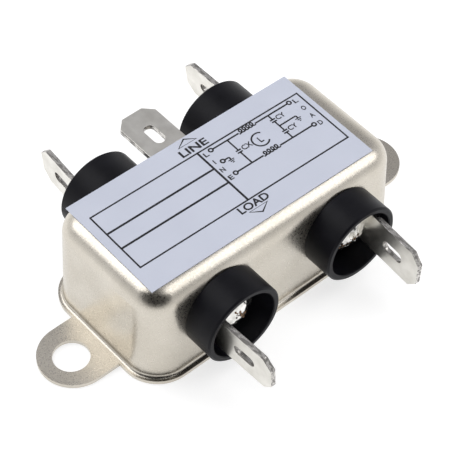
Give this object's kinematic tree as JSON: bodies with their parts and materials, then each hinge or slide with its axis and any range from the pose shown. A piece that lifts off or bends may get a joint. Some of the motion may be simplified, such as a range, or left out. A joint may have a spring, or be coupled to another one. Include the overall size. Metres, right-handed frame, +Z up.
{
  "type": "emi line filter",
  "caption": "Chassis-mount line filter: drawn steel can with ears, tab blades in insulating cups at its long sides, and an earth tab.",
  "frame": {"origin": "centre of the mounting face, midway between the two ear holes", "axes": "+X along the can, +Y towards the line side with the earth tab, -Y towards the load side, +Z up out of the mounting face"},
  "size_m": [0.0632, 0.048, 0.0161],
  "materials": {
    "nickel": "satin nickel plate on drawn steel",
    "tinned_brass": "satin tin plate with sheared edges",
    "black_plastic": "moulded, satin black",
    "solder": "bright, lumpy solder",
    "label_film": "printed polyester film, satin",
    "resin": "cast resin",
    "board": "pressed insulating board",
    "ferrite": "coated ferrite",
    "enamelled_copper": "enamelled copper wire",
    "film_box": "moulded box",
    "disc_coating": "dipped epoxy",
    "tinned_wire": "tinned copper wire"
  },
  "bodies": {
    "root": {"case": "nickel", "base_plate": "nickel", "potting": "resin", "top_insulator": "board", "label": "label_film", "cup_line_left": "black_plastic", "cup_line_right": "black_plastic", "cup_load_left": "black_plastic", "cup_load_right": "black_plastic", "blade_line_left": "tinned_brass", "blade_line_right": "tinned_brass", "blade_load_left": "tinned_brass", "blade_load_right": "tinned_brass", "solder_line_left": "solder", "solder_line_right": "solder", "solder_load_left": "solder", "solder_load_right": "solder", "earth_tab": "tinned_brass", "earth_joint": "solder", "core": "ferrite", "separator": "board", "winding_left": "enamelled_copper", "winding_right": "enamelled_copper", "x_capacitor": "film_box", "x_lead_left": "tinned_wire", "x_lead_right": "tinned_wire", "disc_capacitor_inner": "disc_coating", "disc_capacitor_outer": "disc_coating", "disc_lead_load_left": "tinned_wire", "disc_lead_load_right": "tinned_wire", "disc_lead_earth_inner": "tinned_wire", "disc_lead_earth_outer": "tinned_wire"}
  },
  "joints": []
}
